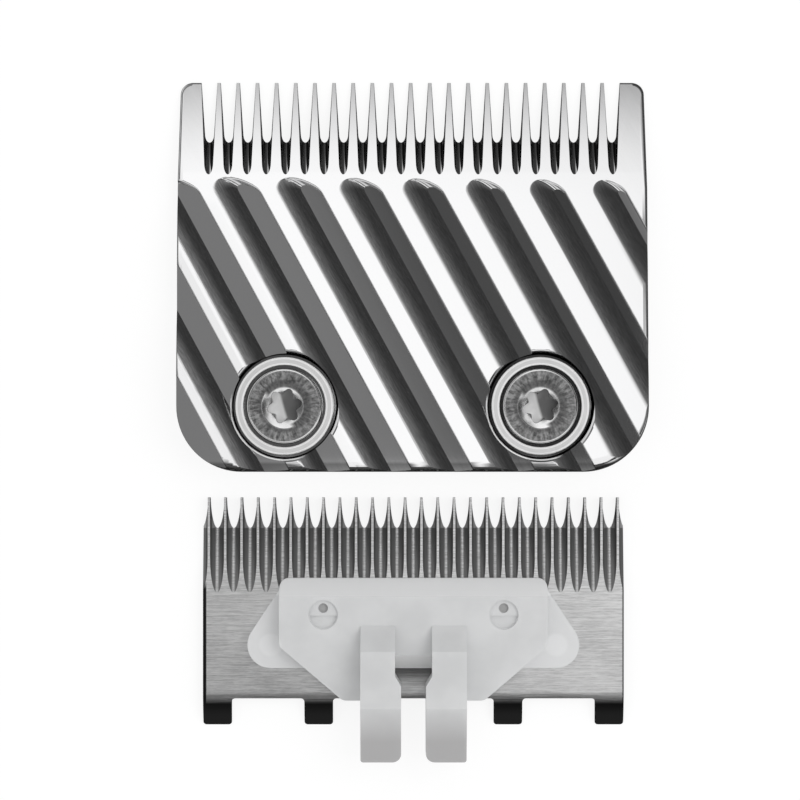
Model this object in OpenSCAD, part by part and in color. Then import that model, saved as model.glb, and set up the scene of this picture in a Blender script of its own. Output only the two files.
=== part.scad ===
// Replacement clipper blade laid out flat in its two halves.
// The fixed comb blade lies teeth forward, and the cutter with its yoke lies
// behind the heel, running face down. The origin is midway between the two
// screws at the level both halves rest on. Lengths are in millimetres.

/* [Fixed blade outline] */
// width of the fixed blade behind the teeth
blade_w = 46; // [38:0.5:56]
// width over the two end teeth at their tips
tip_w = 45.5; // [37.5:0.5:55.5]
// distance from the screw centres forward to the tooth tips
tip_y = 31.8; // [28:0.1:38]
// distance from the screw centres back to the heel
heel_back = 6.4; // [6:0.1:9]
// radius of the two heel corners seen from above
heel_r = 6.4; // [2:0.1:6.4]
// radius of the outer corners of the end teeth
tip_corner_r = 1.2; // [0.4:0.1:1.4]

/* [Fixed blade thickness] */
// thickness of the teeth at their tips
tip_t = 0.25; // [0.15:0.05:0.5]
// rise of the wedge behind the tips for each millimetre of length
wedge_rise = 0.2; // [0.15:0.01:0.25]
// length of the wedge from the tips to the ribbed back
wedge_len = 10.5; // [10.3:0.1:12]
// rise of the ribbed back for each millimetre towards the heel
back_rise = 0.115; // [0.09:0.005:0.13]
// radius that rolls the top edge over at the heel
heel_roll_r = 0.9; // [0.4:0.1:1.2]

/* [Comb teeth] */
// number of slots between the comb teeth
slot_count = 22; // [12:1:22]
// distance from one slot to the next
slot_pitch = 1.886; // [1.7:0.002:1.93]
// sideways place of the middle of the slot row
slot_shift = -0.16; // [-0.3:0.02:0.3]
// length of the open slots at the cutting face, from the tips
slot_len = 5.85; // [5:0.05:6.5]
// radius at the bottom of a slot
slot_r = 0.44; // [0.35:0.01:0.48]
// steepness at which the slot bottom climbs to the top, in degrees
slot_climb = 32.4; // [30:0.2:38]
// outward slope of each slot wall, in degrees
slot_draft = 7; // [5:0.5:8]

/* [Flutes] */
// number of diagonal flutes
flute_count = 10; // [6:1:10]
// distance between flutes across the blade
flute_pitch = 5.966; // [5.8:0.002:6.2]
// lean of the flutes from the fore and aft line, in degrees
flute_lean = 28.7; // [20:0.1:35]
// sideways place of the crease of the first flute at the ribbed back's front
flute_start = -32.86; // [-34:0.02:-31]
// depth of a flute at its steep wall
flute_shallow = 0.3; // [0.15:0.05:0.35]
// width of the long flank from the ridge to its foot
flank_w = 2.45; // [2.2:0.05:2.5]
// width of the first flute's flat floor between foot and wall
floor_w = 2.3; // [2:0.05:2.4]
// narrowing of the floor from each flute to the next
floor_step = 0.185; // [0:0.005:0.2]
// fall of the floor for each millimetre from the wall to the foot
floor_fall = 0.23; // [0.15:0.01:0.3]

/* [Screws and rims] */
// distance between the two screws
screw_span = 24.9; // [22:0.1:26]
// radius of the screw shank
shank_r = 1.75; // [1.5:0.05:1.9]
// clearance round the plain neck of the screw in its hole
neck_clear = 0.1; // [0.05:0.05:0.2]
// radius of the screw head
head_r = 3.7; // [3.4:0.05:3.8]
// clearance round the head in the counterbore
head_clear = 0.3; // [0.2:0.05:0.4]
// height of the screw head
head_h = 1.6; // [1.3:0.1:1.8]
// width of the turned rim round each counterbore
rim_w = 0.68; // [0.5:0.02:0.8]
// clearance between the rim and the cut back ridges
rim_gap = 0.5; // [0.3:0.05:0.7]
// height of the head's seat above the rest level
seat_z = 3.2; // [3:0.1:3.4]
// height of the rim's top above the rest level
rim_z = 4.9; // [4.7:0.1:5.1]
// height of the trench floor round the rim
trench_z = 4; // [3.9:0.05:4.1]
// radius of the dish round the socket
dish_r = 2.35; // [2.1:0.05:2.6]
// radius to the tips of the six socket lobes
lobe_r = 1.75; // [1.5:0.05:1.9]
// depth of the socket
socket_deep = 1.1; // [0.8:0.1:1.2]

/* [Mounting seat] */
// depth of the seat pocket under the blade
seat_deep = 2; // [1.6:0.1:2.2]
// width of the seat pocket
seat_w = 38; // [34:0.5:39]
// distance from the screw centres to the front of the pocket
seat_front = 8; // [5:0.5:9]
// distance from the screw centres to the back of the pocket
seat_back = 3.8; // [3.6:0.1:4.4]

/* [Cutter plate] */
// gap between the heel of the fixed blade and the cutter's tips as laid out
layout_gap = 2.6; // [1:0.1:12]
// sideways place of the cutter as laid out
layout_x = 0.1; // [-2:0.1:2]
// width of the cutter plate
plate_w = 41.3; // [36:0.1:44]
// length of the plate from the tips to its rear edge
plate_len = 19.7; // [19.7:0.1:22]
// thickness of the plate
plate_t = 1.26; // [1.1:0.02:1.4]
// radius that rolls over the plate's rear edge
plate_roll_r = 0.65; // [0.4:0.05:0.8]
// depth of the relief under the middle of the plate
relief_deep = 0.2; // [0.1:0.02:0.3]

/* [Cutter teeth and feet] */
// number of cutter teeth
tooth_count = 26; // [16:1:26]
// distance from one cutter tooth to the next
tooth_pitch = 1.606; // [1.5:0.002:1.606]
// radius of the grooves between the teeth
groove_r = 0.685; // [0.55:0.005:0.69]
// length of the open gaps at the running face
gap_len = 3; // [2.5:0.1:3.5]
// steepness at which the grooves climb out of the plate, in degrees
groove_climb = 11.3; // [10:0.1:13]
// width of a foot
foot_w = 2.8; // [2:0.1:3.5]
// length of the feet behind the plate
foot_len = 2.65; // [2:0.05:3]
// distance from the middle to the outer side of the inner feet
inner_foot_x = 10.7; // [9:0.1:12]
// radius that rolls the feet over
foot_roll_r = 5.2; // [4.6:0.1:6]

/* [Drive yoke] */
// thickness of the yoke's flange
flange_t = 0.75; // [0.5:0.05:1]
// distance from the middle to the centre of each side lobe
lobe_x = 13.98; // [13.8:0.02:15]
// radius of the side lobes
lobe_end_r = 2.27; // [2:0.01:2.4]
// radius of the pegs that pass into the plate
peg_r = 1.1; // [0.9:0.05:1.3]
// clearance round the pegs in the plate
peg_clear = 0.05; // [0.05:0.05:0.15]
// distance from the middle to each side of the raised body
body_half_w = 13.1; // [12.5:0.1:13.6]
// height of the raised body above the rest level
body_z = 4; // [3.4:0.1:4.6]
// radius of the round recesses in the body
recess_r = 1.43; // [1.2:0.01:1.6]
// radius of the small holes in the recesses
pin_hole_r = 0.5; // [0.4:0.02:0.6]
// distance between the arms where the drive enters
drive_gap = 2.4; // [2:0.1:3]
// widening of that gap towards the body, on each side
gap_relief = 0.6; // [0.3:0.05:0.8]
// distance from the middle to the outer side of each arm
arm_half_w = 5.15; // [4.8:0.05:5.6]
// height of the arms above the rest level
arm_z = 8; // [7:0.1:9]
// height of the arms at their rear ends
arm_end_z = 5.2; // [4.4:0.1:6]
// length of the arms behind the plate's rear edge
arm_over = 5.9; // [5.5:0.1:7]

/* [Hidden] */

// circles are drawn with enough sides to read as round
round_n = 72;
small_n = 48;

// the ribbed back starts where the wedge ends
back_y = tip_y - wedge_len;
back_z = tip_t + wedge_len * wedge_rise;
heel_z = back_z + (back_y + heel_back) * back_rise;
back_angle = atan(back_rise);

// the slots are cut by a channel longer than the climb through the teeth
channel_lead = 9;
channel_run = 22;
channel_top = 6;

// across the flutes, measured square to their run
flute_pitch_n = flute_pitch * cos(flute_lean);
flute_wall_w = flute_shallow * 0.6;
flank_edge = 0.01;
flute_run = 44;
flute_lead = 6;
flute_mouth = 1.5;
// the wall that ends each flute at its front, turned and sloped
head_turn = -14.9;
head_slope = -52;
head_u = -3.9;
head_lead = 1.2;
head_block = [16, 12, 14];

// round the screws
bore_r = head_r + head_clear;
rim_r = bore_r + rim_w;
trench_r = rim_r + rim_gap;
neck_r = shank_r + 0.1;
neck_z = seat_deep - 0.2;
hole_r = neck_r + neck_clear;
head_edge = 0.15;
socket_web_r = 0.36;
dish_deep = 0.15;

// the cutter's own lengths run back from its tips
cutter_y = -heel_back - layout_gap;
foot_end = plate_len + foot_len;
outer_foot_x = plate_w / 2;
foot_drop = foot_roll_r - sqrt(pow(foot_roll_r, 2) - pow(foot_len + plate_roll_r, 2));
groove_end = gap_len + plate_t / tan(groove_climb);
groove_lead = 5;
groove_run = 18;
groove_top = 3;
notch_r = 0.35;

// the yoke's own lengths follow the plate
flange_z = plate_t + flange_t;
lobe_v = plate_len - 5.3;
flange_rear = lobe_v + lobe_end_r;
flange_front_x = body_half_w - 0.6;
body_front = plate_len - 11.85;
slope_v = body_front + 1.75;
side_end = lobe_v;
arm_front = plate_len - 7.3;
arm_crease = plate_len + 0.45;
arm_end = plate_len + arm_over;
arm_rise_end = arm_front + 2.4;
arm_rise_z = body_z + 0.6 * (arm_z - body_z);
relief_end = plate_len - 2.6;
recess_v = plate_len - 8.1;
recess_x = 9.1;
recess_deep = 0.25;
step_deep = 0.45;
step_edge = 0.1;
pin_hole_deep = 1.6;
pin_hole_v = 0.65;
body_corner = 0.9;
rear_corner_x = 7.4;
rear_corner = 0.4;
bevel_run = 1.4;
arm_chamfer = 0.75;

module steel_blade() {
  color([0.82, 0.83, 0.84]) children();
}

module steel_cutter() {
  color([0.66, 0.66, 0.66]) children();
}

module steel_screw() {
  color([0.42, 0.42, 0.43]) children();
}

module milky_plastic() {
  color([0.86, 0.87, 0.87]) children();
}

// a square corner less its round, for cutting away an outer corner
module corner_waste(r, quadrant) {
  rotate(90 * quadrant)
    difference() {
      square([r + 0.5, r + 0.5]);
      circle(r, $fn = round_n);
    }
}

module blade_plan() {
  difference() {
    polygon([
      [-blade_w / 2, -heel_back],
      [blade_w / 2, -heel_back],
      [blade_w / 2, back_y],
      [tip_w / 2, tip_y],
      [-tip_w / 2, tip_y],
      [-blade_w / 2, back_y]
    ]);
    translate([blade_w / 2 - heel_r, heel_r - heel_back]) corner_waste(heel_r, 3);
    translate([heel_r - blade_w / 2, heel_r - heel_back]) corner_waste(heel_r, 2);
    translate([tip_w / 2 - tip_corner_r, tip_y - tip_corner_r]) corner_waste(tip_corner_r, 0);
    translate([tip_corner_r - tip_w / 2, tip_y - tip_corner_r]) corner_waste(tip_corner_r, 1);
  }
}

// side view of the blade, drawn with the tips to the right
module blade_side() {
  difference() {
    polygon([
      [-heel_back - 1, 0],
      [tip_y + 1, 0],
      [tip_y + 1, tip_t - wedge_rise],
      [back_y, back_z],
      [-heel_back - 1, heel_z + back_rise]
    ]);
    translate([heel_roll_r - heel_back, heel_z - heel_roll_r])
      difference() {
        translate([-3, 0]) square([3, 3]);
        circle(heel_roll_r, $fn = small_n);
      }
  }
}

module blade_body() {
  intersection() {
    linear_extrude(heel_z + 1) blade_plan();
    translate([-blade_w, 0, 0])
      rotate([90, 0, 90])
        linear_extrude(2 * blade_w) blade_side();
  }
}

// a slot is a drafted channel whose bottom climbs from the cutting face to the top
module slot_channel() {
  spread = channel_top * tan(slot_draft);
  union() {
    circle(slot_r, $fn = small_n);
    polygon([
      [-slot_r * cos(slot_draft), slot_r * sin(-slot_draft)],
      [slot_r * cos(slot_draft), slot_r * sin(-slot_draft)],
      [slot_r * cos(slot_draft) + spread, channel_top],
      [-slot_r * cos(slot_draft) - spread, channel_top]
    ]);
  }
}

module slot_cut() {
  translate([0, tip_y - slot_len, 0])
    rotate([-slot_climb, 0, 0])
      translate([0, -channel_lead, slot_r])
        rotate([90, 0, 180])
          linear_extrude(channel_run) slot_channel();
}

// across a flute: long convex flank, flat floor falling to its foot, short steep wall
module flute_section(floor_width) {
  foot_u = -flute_wall_w - floor_width;
  centre_u = foot_u - flank_w;
  foot_deep = flute_shallow + floor_width * floor_fall;
  flank_r = (pow(flank_w, 2) + pow(foot_deep, 2)) / (2 * foot_deep);
  difference() {
    polygon([
      [centre_u, flute_mouth],
      [centre_u, -foot_deep],
      [foot_u, -foot_deep],
      [-flute_wall_w, -flute_shallow],
      [0, 0],
      [flute_wall_w * 5, flute_mouth]
    ]);
    translate([centre_u, flank_edge - flank_r]) circle(flank_r, $fn = 144);
  }
}

module flute_cut(floor_width) {
  difference() {
    rotate([0, 0, flute_lean])
      translate([0, flute_lead, 0])
        rotate([90, 0, 0])
          linear_extrude(flute_run) flute_section(floor_width);
    translate([head_u, head_lead, 0])
      rotate([0, 0, head_turn])
        rotate([head_slope, 0, 0])
          translate([-6, 0, -head_block[2] / 2])
            cube(head_block);
  }
}

module screw_places() {
  for (side = [-1, 1]) translate([side * screw_span / 2, 0, 0]) children();
}

module fixed_blade() {
  steel_blade()
    difference() {
      union() {
        difference() {
          blade_body();
          for (i = [0 : slot_count - 1])
            translate([slot_shift + (i - (slot_count - 1) / 2) * slot_pitch, 0, 0])
              slot_cut();
          translate([0, back_y, back_z])
            rotate([-back_angle, 0, 0])
              for (i = [0 : flute_count - 1])
                translate([flute_start + i * flute_pitch, 0, 0])
                  flute_cut(floor_w - i * floor_step);
          screw_places() translate([0, 0, trench_z]) cylinder(r = trench_r, h = 4, $fn = round_n);
        }
        screw_places()
          translate([0, 0, seat_deep + 0.4])
            cylinder(r = rim_r, h = rim_z - seat_deep - 0.4, $fn = round_n);
      }
      screw_places() translate([0, 0, seat_z]) cylinder(r = bore_r, h = 4, $fn = round_n);
      screw_places() translate([0, 0, -1]) cylinder(r = hole_r, h = 8, $fn = small_n);
      translate([-seat_w / 2, -seat_back, -1])
        cube([seat_w, seat_back + seat_front, seat_deep + 1]);
    }
}

module star_socket() {
  circle(lobe_r - socket_web_r * 1.3, $fn = small_n);
  for (i = [0 : 5])
    rotate(60 * i + 12)
      translate([lobe_r - socket_web_r, 0]) circle(socket_web_r, $fn = 24);
}

module screw_body() {
  steel_screw()
    difference() {
      union() {
        cylinder(r = shank_r, h = seat_z, $fn = small_n);
        translate([0, 0, neck_z]) cylinder(r = neck_r, h = seat_z - neck_z + 0.1, $fn = small_n);
        translate([0, 0, seat_z]) cylinder(r = head_r, h = head_h - head_edge, $fn = round_n);
        translate([0, 0, seat_z + head_h - head_edge])
          cylinder(r1 = head_r, r2 = head_r - head_edge, h = head_edge, $fn = round_n);
      }
      translate([0, 0, seat_z + head_h - dish_deep]) cylinder(r = dish_r, h = 1, $fn = small_n);
      translate([0, 0, seat_z + head_h - socket_deep])
        linear_extrude(socket_deep + 1) star_socket();
    }
}

module screw_left() {
  translate([-screw_span / 2, 0, 0]) screw_body();
}

module screw_right() {
  translate([screw_span / 2, 0, 0]) screw_body();
}

// the cutter and its yoke are drawn with y running back from the tips
module laid_out() {
  translate([layout_x, cutter_y, 0]) mirror([0, 1, 0]) children();
}

module foot_plan(outer_x) {
  translate([outer_x - foot_w, plate_len - 1]) square([foot_w, foot_len + 1]);
}

module notch_fillet(x, side) {
  translate([x, plate_len])
    difference() {
      translate([side > 0 ? 0 : -notch_r, 0]) square([notch_r, notch_r]);
      translate([side * notch_r, notch_r]) circle(notch_r, $fn = 24);
    }
}

module plate_plan() {
  translate([-plate_w / 2, 0]) square([plate_w, plate_len]);
  for (side = [0, 1])
    mirror([side, 0]) {
      foot_plan(outer_foot_x);
      foot_plan(inner_foot_x);
      notch_fillet(outer_foot_x - foot_w, -1);
      notch_fillet(inner_foot_x - foot_w, -1);
      notch_fillet(inner_foot_x, 1);
    }
}

// side view of the plate with the rolled feet, tips to the left
module plate_side() {
  difference() {
    square([foot_end, plate_t]);
    translate([plate_len - plate_roll_r, plate_t - foot_roll_r])
      difference() {
        square([12, foot_roll_r + 1]);
        circle(foot_roll_r, $fn = 144);
      }
  }
}

module groove_channel() {
  circle(groove_r, $fn = small_n);
  translate([-groove_r, 0]) square([2 * groove_r, groove_top]);
}

module groove_cut() {
  translate([0, gap_len, 0])
    rotate([groove_climb, 0, 0])
      translate([0, -groove_lead, groove_r])
        rotate([90, 0, 180])
          linear_extrude(groove_run) groove_channel();
}

module cutter_blade() {
  steel_cutter()
    laid_out()
      difference() {
        intersection() {
          linear_extrude(plate_t + 1) plate_plan();
          translate([-plate_w, 0, 0])
            rotate([90, 0, 90])
              linear_extrude(2 * plate_w) plate_side();
        }
        for (i = [0 : tooth_count])
          translate([(i - tooth_count / 2) * tooth_pitch, 0, 0]) groove_cut();
        translate([-plate_w, groove_end - 1.5, -1])
          cube([2 * plate_w, plate_len - groove_end - 1, relief_deep + 1]);
        for (side = [-1, 1])
          translate([side * lobe_x, lobe_v, -1])
            cylinder(r = peg_r + peg_clear, h = plate_t + 2, $fn = small_n);
      }
}

module flange_plan() {
  polygon([
    [-flange_front_x, body_front + 0.2],
    [flange_front_x, body_front + 0.2],
    [lobe_x + 0.832 * lobe_end_r, lobe_v - 0.555 * lobe_end_r],
    [lobe_x, lobe_v],
    [lobe_x, flange_rear],
    [-lobe_x, flange_rear],
    [-lobe_x, lobe_v],
    [-lobe_x - 0.832 * lobe_end_r, lobe_v - 0.555 * lobe_end_r]
  ]);
  for (side = [-1, 1]) translate([side * lobe_x, lobe_v]) circle(lobe_end_r, $fn = small_n);
}

module body_plan() {
  difference() {
    polygon([
      [-body_half_w + body_corner, body_front],
      [body_half_w - body_corner, body_front],
      [body_half_w, body_front + body_corner],
      [body_half_w, side_end],
      [rear_corner_x, plate_len - rear_corner],
      [rear_corner_x - 1, plate_len],
      [1 - rear_corner_x, plate_len],
      [-rear_corner_x, plate_len - rear_corner],
      [-body_half_w, side_end],
      [-body_half_w, body_front + body_corner]
    ]);
    translate([-drive_gap / 2 - gap_relief, flange_rear])
      square([drive_gap + 2 * gap_relief, 6]);
  }
}

// side view of the body: sloped front, and a sloped rear between the arms
module body_side() {
  polygon([
    [body_front, plate_t],
    [plate_len, plate_t],
    [plate_len, body_z],
    [slope_v, body_z],
    [body_front, flange_z]
  ]);
}

// the body's rear edge between the arms slopes down to the flange
module rear_bevel() {
  polygon([
    [flange_rear, flange_z],
    [flange_rear + 1, flange_z],
    [flange_rear + 1, body_z + 1],
    [flange_rear - bevel_run, body_z + 1],
    [flange_rear - bevel_run, body_z]
  ]);
}

module arm_plan() {
  polygon([
    [drive_gap / 2 + gap_relief, arm_front],
    [arm_half_w, arm_front],
    [arm_half_w, arm_end - 0.3],
    [arm_half_w - 0.3, arm_end],
    [drive_gap / 2 + arm_chamfer, arm_end],
    [drive_gap / 2, arm_end - arm_chamfer],
    [drive_gap / 2, relief_end + 1],
    [drive_gap / 2 + gap_relief, relief_end]
  ]);
}

// side view of an arm: it climbs out of the body to a crease and falls to its end
module arm_side() {
  polygon([
    [arm_front, flange_z],
    [arm_end, flange_z],
    [arm_end, arm_end_z],
    [arm_crease, arm_z],
    [arm_rise_end, arm_rise_z],
    [arm_front, body_z]
  ]);
}

module drive_yoke() {
  milky_plastic()
    laid_out()
      difference() {
        union() {
          translate([0, 0, plate_t]) linear_extrude(flange_t) flange_plan();
          difference() {
            intersection() {
              translate([0, 0, plate_t]) linear_extrude(body_z) body_plan();
              translate([-plate_w, 0, 0])
                rotate([90, 0, 90])
                  linear_extrude(2 * plate_w) body_side();
            }
            translate([-plate_w, flange_rear, 0])
              cube([2 * plate_w, plate_len, flange_z]);
          }
          for (side = [0, 1])
            mirror([side, 0, 0])
              intersection() {
                linear_extrude(arm_z + 1) arm_plan();
                rotate([90, 0, 90]) linear_extrude(9) arm_side();
              }
          for (side = [-1, 1])
            translate([side * lobe_x, lobe_v, relief_deep + 0.1])
              cylinder(r = peg_r, h = plate_t - relief_deep, $fn = small_n);
        }
        translate([-drive_gap / 2 - gap_relief, 0, 0])
          rotate([90, 0, 90])
            linear_extrude(drive_gap + 2 * gap_relief) rear_bevel();
        for (side = [-1, 1])
          translate([side * recess_x, recess_v, 0]) {
            translate([0, 0, body_z - recess_deep]) cylinder(r = recess_r, h = 2, $fn = small_n);
            translate([0, -pin_hole_v, body_z - pin_hole_deep])
              cylinder(r = pin_hole_r, h = pin_hole_deep + 1, $fn = 24);
            translate([0, 0, body_z - step_deep])
              intersection() {
                cylinder(r = recess_r - step_edge, h = 2, $fn = small_n);
                translate([-recess_r, step_edge, 0]) cube(2 * recess_r);
              }
          }
      }
}

fixed_blade();
screw_left();
screw_right();
cutter_blade();
drive_yoke();
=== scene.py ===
import math
import bpy
import bmesh
from mathutils import Matrix, Vector


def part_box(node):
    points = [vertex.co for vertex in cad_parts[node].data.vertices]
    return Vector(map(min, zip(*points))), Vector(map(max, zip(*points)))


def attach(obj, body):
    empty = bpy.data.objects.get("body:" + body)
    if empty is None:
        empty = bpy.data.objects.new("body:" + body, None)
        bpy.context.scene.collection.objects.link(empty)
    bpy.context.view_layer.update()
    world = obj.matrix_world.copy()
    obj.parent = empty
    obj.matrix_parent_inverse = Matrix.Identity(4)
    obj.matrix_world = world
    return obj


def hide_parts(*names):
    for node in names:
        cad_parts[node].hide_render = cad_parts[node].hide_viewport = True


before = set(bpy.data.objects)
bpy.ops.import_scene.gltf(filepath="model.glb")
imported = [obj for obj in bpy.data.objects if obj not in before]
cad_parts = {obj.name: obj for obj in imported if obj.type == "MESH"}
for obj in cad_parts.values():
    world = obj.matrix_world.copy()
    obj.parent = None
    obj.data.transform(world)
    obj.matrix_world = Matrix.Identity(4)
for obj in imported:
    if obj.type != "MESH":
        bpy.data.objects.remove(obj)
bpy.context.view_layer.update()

mm = 0.001


# hand tools used on every piece

def letGo():
    if bpy.context.object and bpy.context.object.mode != "OBJECT":
        bpy.ops.object.mode_set(mode="OBJECT")
    bpy.ops.object.select_all(action="DESELECT")


def pickUp(piece):
    letGo()
    piece.select_set(True)
    bpy.context.view_layer.objects.active = piece


def applyModifier(piece, kind, **settings):
    pickUp(piece)
    modifier = piece.modifiers.new(kind.lower(), kind)
    for key, value in settings.items():
        setattr(modifier, key, value)
    bpy.ops.object.modifier_apply(modifier=modifier.name)


def tidyNormals(piece):
    pickUp(piece)
    bpy.ops.object.mode_set(mode="EDIT")
    bpy.ops.mesh.select_all(action="SELECT")
    bpy.ops.mesh.remove_doubles(threshold=0.0005 * mm)
    bpy.ops.mesh.normals_make_consistent(inside=False)
    bpy.ops.object.mode_set(mode="OBJECT")


def carve(piece, tool, how="DIFFERENCE"):
    applyModifier(piece, "BOOLEAN", object=tool, operation=how, solver="EXACT")
    bpy.data.objects.remove(tool)
    tidyNormals(piece)


# a flat face whose corners are moved into place, in millimetres
def drawFace(name, corners):
    letGo()
    bpy.ops.mesh.primitive_circle_add(vertices=len(corners), radius=mm, fill_type="NGON")
    piece = bpy.context.object
    piece.name = piece.data.name = name
    for vertex, corner in zip(piece.data.vertices, corners):
        vertex.co = Vector(corner) * mm
    return piece


def pullOut(piece, x, y, z):
    pickUp(piece)
    bpy.ops.object.mode_set(mode="EDIT")
    bpy.ops.mesh.select_all(action="SELECT")
    bpy.ops.mesh.extrude_region_move(TRANSFORM_OT_translate={"value": Vector((x, y, z)) * mm})
    tidyNormals(piece)
    return piece


def roundBar(name, x, y, low, high, radius, sides=96):
    letGo()
    place = Vector((x, y, (low + high) / 2)) * mm
    bpy.ops.mesh.primitive_cylinder_add(vertices=sides, radius=radius * mm, depth=(high - low) * mm,
                                        location=place)
    bpy.ops.object.transform_apply(location=True, rotation=True, scale=True)
    piece = bpy.context.object
    piece.name = piece.data.name = name
    return piece


# a solid turned from a profile of (radius, height), on the axis at both ends unless it is a ring
def turned(name, x, y, profile, sides=96, ring=False):
    letGo()
    mesh = bpy.data.meshes.new(name)
    points = [Vector((radius, 0, height)) * mm for radius, height in profile]
    last = len(points) - 1
    edges = [(index, index + 1) for index in range(last)] + ([(last, 0)] if ring else [])
    mesh.from_pydata(points, edges, [])
    piece = bpy.data.objects.new(name, mesh)
    bpy.context.collection.objects.link(piece)
    pickUp(piece)
    bpy.ops.object.mode_set(mode="EDIT")
    bpy.ops.mesh.select_all(action="SELECT")
    bpy.ops.mesh.spin(steps=sides, angle=2 * math.pi, center=(0, 0, 0), axis=(0, 0, 1))
    tidyNormals(piece)
    mesh.transform(Matrix.Translation(Vector((x, y, 0)) * mm))
    return piece


# corners given as (a, b, radius) are turned into a path with round corners
def roundedPath(corners, steps=8, closed=True):
    path = []
    last = len(corners) - 1
    for index, (a, b, radius) in enumerate(corners):
        here = Vector((a, b, 0))
        if radius == 0 or (not closed and index in (0, last)):
            path.append((a, b))
            continue
        before = (Vector((*corners[index - 1][:2], 0)) - here).normalized()
        after = (Vector((*corners[(index + 1) % len(corners)][:2], 0)) - here).normalized()
        half = before.angle(after) / 2
        if half > 1.56:
            for step in range(steps + 1):
                point = here + before * radius * 0.2 * (1 - 2 * step / steps)
                path.append((point.x, point.y))
            continue
        centre = here + (before + after).normalized() * radius / math.sin(half)
        start = (here + before * radius / math.tan(half) - centre).normalized()
        end = (here + after * radius / math.tan(half) - centre).normalized()
        for step in range(steps + 1):
            point = centre + start.slerp(end, step / steps) * radius
            path.append((point.x, point.y))
    return path


def repeatAlongX(piece, count, pitch):
    applyModifier(piece, "ARRAY", count=count, use_relative_offset=False, use_constant_offset=True,
                  constant_offset_displace=(pitch * mm, 0, 0))


# rings of points, all of one length, joined into a closed skin
def skinRings(name, rings, closedLoop=False):
    shape = bmesh.new()
    made = [[shape.verts.new(Vector(point) * mm) for point in ring] for ring in rings]
    size = len(made[0])
    pairs = list(zip(made, made[1:])) + ([(made[-1], made[0])] if closedLoop else [])
    for low, high in pairs:
        for index in range(size):
            other = (index + 1) % size
            shape.faces.new((low[index], low[other], high[other], high[index]))
    if not closedLoop:
        shape.faces.new(made[0])
        shape.faces.new(made[-1])
    bmesh.ops.recalc_face_normals(shape, faces=shape.faces)
    mesh = bpy.data.meshes.new(name)
    shape.to_mesh(mesh)
    shape.free()
    piece = bpy.data.objects.new(name, mesh)
    bpy.context.collection.objects.link(piece)
    return piece


# wide flat faces keep their own normal, and what curves into them takes it over;
# guide gives the true normal at a point of a face that a formula describes, or nothing
def finishSurface(piece, sharpAngle=28, flatWidth=0.3, takeAngle=None, guide=None):
    pickUp(piece)
    bpy.ops.object.shade_smooth()
    mesh = piece.data
    limit = math.cos(math.radians(sharpAngle))
    takeLimit = math.cos(math.radians(takeAngle or sharpAngle))
    places = [vertex.co / mm for vertex in mesh.vertices]
    normals, weights, wide, guided = [], [], [], []
    around = [[] for place in places]
    for face in mesh.polygons:
        ring = [places[index] for index in face.vertices]
        edge = sum((ring[index] - ring[index - 1]).length for index in range(len(ring)))
        normals.append(face.normal.copy())
        weights.append(face.area / mm ** 2)
        guided.append(guide is not None and all(guide(point, face.normal) for point in ring))
        wide.append(guided[-1] or 2 * face.area / mm ** 2 > flatWidth * edge)
        for index in face.vertices:
            around[index].append(face.index)

    def leading(face, index):
        return guide(places[index], normals[face]) if guided[face] else normals[face]

    settled = [None] * len(mesh.loops)
    for face in mesh.polygons:
        own = normals[face.index]
        for loop, index in zip(face.loop_indices, face.vertices):
            near = [other for other in around[index] if normals[other].dot(own) > limit]
            flats = [other for other in near if wide[other] and normals[other].dot(own) > takeLimit]
            if wide[face.index]:
                settled[loop] = leading(face.index, index)
            elif flats:
                settled[loop] = leading(max(flats, key=lambda other: normals[other].dot(own)), index)
            else:
                settled[loop] = sum((normals[other] * weights[other] for other in near), Vector()).normalized()
    mesh.normals_split_custom_set(settled)


def handOver(piece, node):
    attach(piece, "root")
    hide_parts(node)
    print("made", piece.name, len(piece.data.polygons), "faces")


# the fixed comb blade
comb = {
    "tipWidth": 45.5, "tipThickness": 0.25, "wedgeRise": 0.2, "wedgeLength": 10.5, "wedgeBow": 0.015,
    "backRise": 0.115,
    "crownRun": 1.7, "heelRadius": 6.4, "tipRadius": 1.2,
    "sideRoll": (0.15, 0.15, 0.5), "heelRoll": (0.8, 0.5, 1.5), "rollTilt": 4.2,
    "slots": 22, "slotPitch": 1.886, "slotShift": -0.16, "slotLength": 5.85, "slotRadius": 0.44,
    "slotClimb": 32.4, "slotDraft": 7,
    "flutes": 10, "flutePitch": 5.966, "fluteStart": -32.86, "fluteLean": 28.7,
    "shallow": 0.3, "flank": 2.45, "wall": 0.18, "firstFloor": 2.3, "floorStep": 0.185, "floorFall": 0.23,
    "headLead": 1.3, "headTilt": 0.743, "headReach": 0.495, "headEnd": -0.1, "headRun": 0.6,
    "headCurve": 0.55, "headLeft": 1.0, "headRight": 0.4,
    "screwSpan": 24.9, "boreRadius": 4.0, "rimRadius": 4.76, "trenchRadius": 5.12,
    "trenchFloor": 3.3, "flare": (0.5, 0.4), "rimHeight": 4.9,
    "rimEdge": 0.16, "seatHeight": 3.2, "holeRadius": 1.95,
    "pocket": (38, 3.8, 8, 2),
}
combLow, combHigh = (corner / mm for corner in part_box("fixed_blade"))
backStart = combHigh.y - comb["wedgeLength"]
backHeight = comb["tipThickness"] + comb["wedgeLength"] * comb["wedgeRise"]


# height and fall of the unfluted top at a distance y from the screws
def topHeight(y):
    run = comb["crownRun"]
    beyond = y - backStart
    if beyond >= run:
        return backHeight - beyond * comb["wedgeRise"]
    if beyond <= -run:
        return backHeight - beyond * comb["backRise"]
    bend = (comb["wedgeRise"] - comb["backRise"]) / (4 * run)
    middle = (comb["wedgeRise"] + comb["backRise"]) / 2
    return backHeight - beyond * middle - bend * (beyond * beyond + run * run)


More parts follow.
